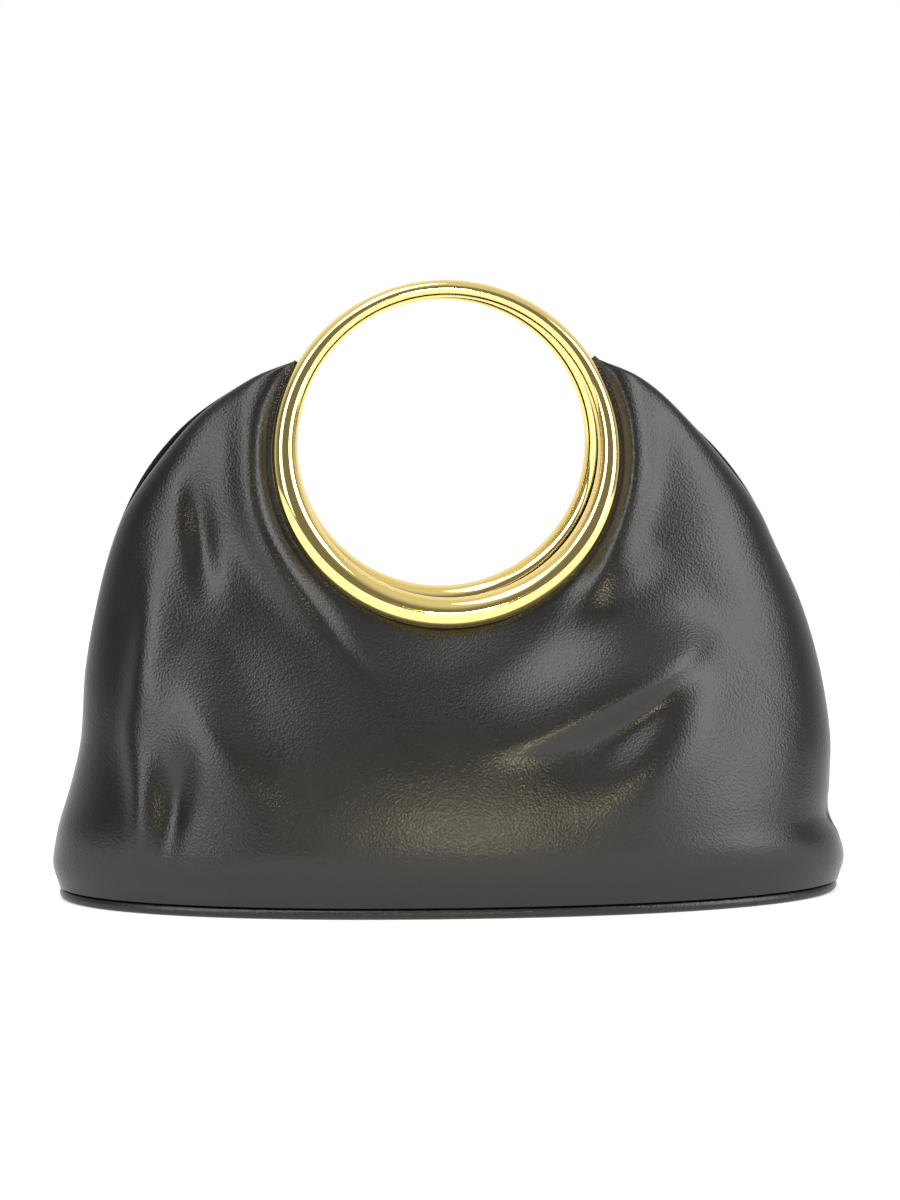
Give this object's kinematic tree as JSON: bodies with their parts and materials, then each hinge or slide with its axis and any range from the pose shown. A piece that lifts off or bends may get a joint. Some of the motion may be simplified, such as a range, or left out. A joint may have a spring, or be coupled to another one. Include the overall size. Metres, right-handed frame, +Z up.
{
  "type": "leather handbag with ring handles",
  "caption": "Soft half-moon leather handbag on a flat oval piped base, gathered round polished metal ring handles set in the top of its front and back panels.",
  "frame": {"origin": "middle of the base's underside, on the surface that the bag stands on", "axes": "+X along the bag to the right as seen from the front, +Y from the front to the back, +Z up"},
  "size_m": [0.3004, 0.11, 0.2312],
  "materials": {
    "leather": "smooth black grain leather with a soft sheen",
    "piping_leather": "black leather drawn over a cord",
    "gold_metal": "polished gold-coloured plating"
  },
  "bodies": {
    "root": {"front_panel": "leather", "back_panel": "leather", "base_panel": "leather", "base_piping": "piping_leather", "front_ring": "gold_metal", "back_ring": "gold_metal"}
  },
  "joints": []
}
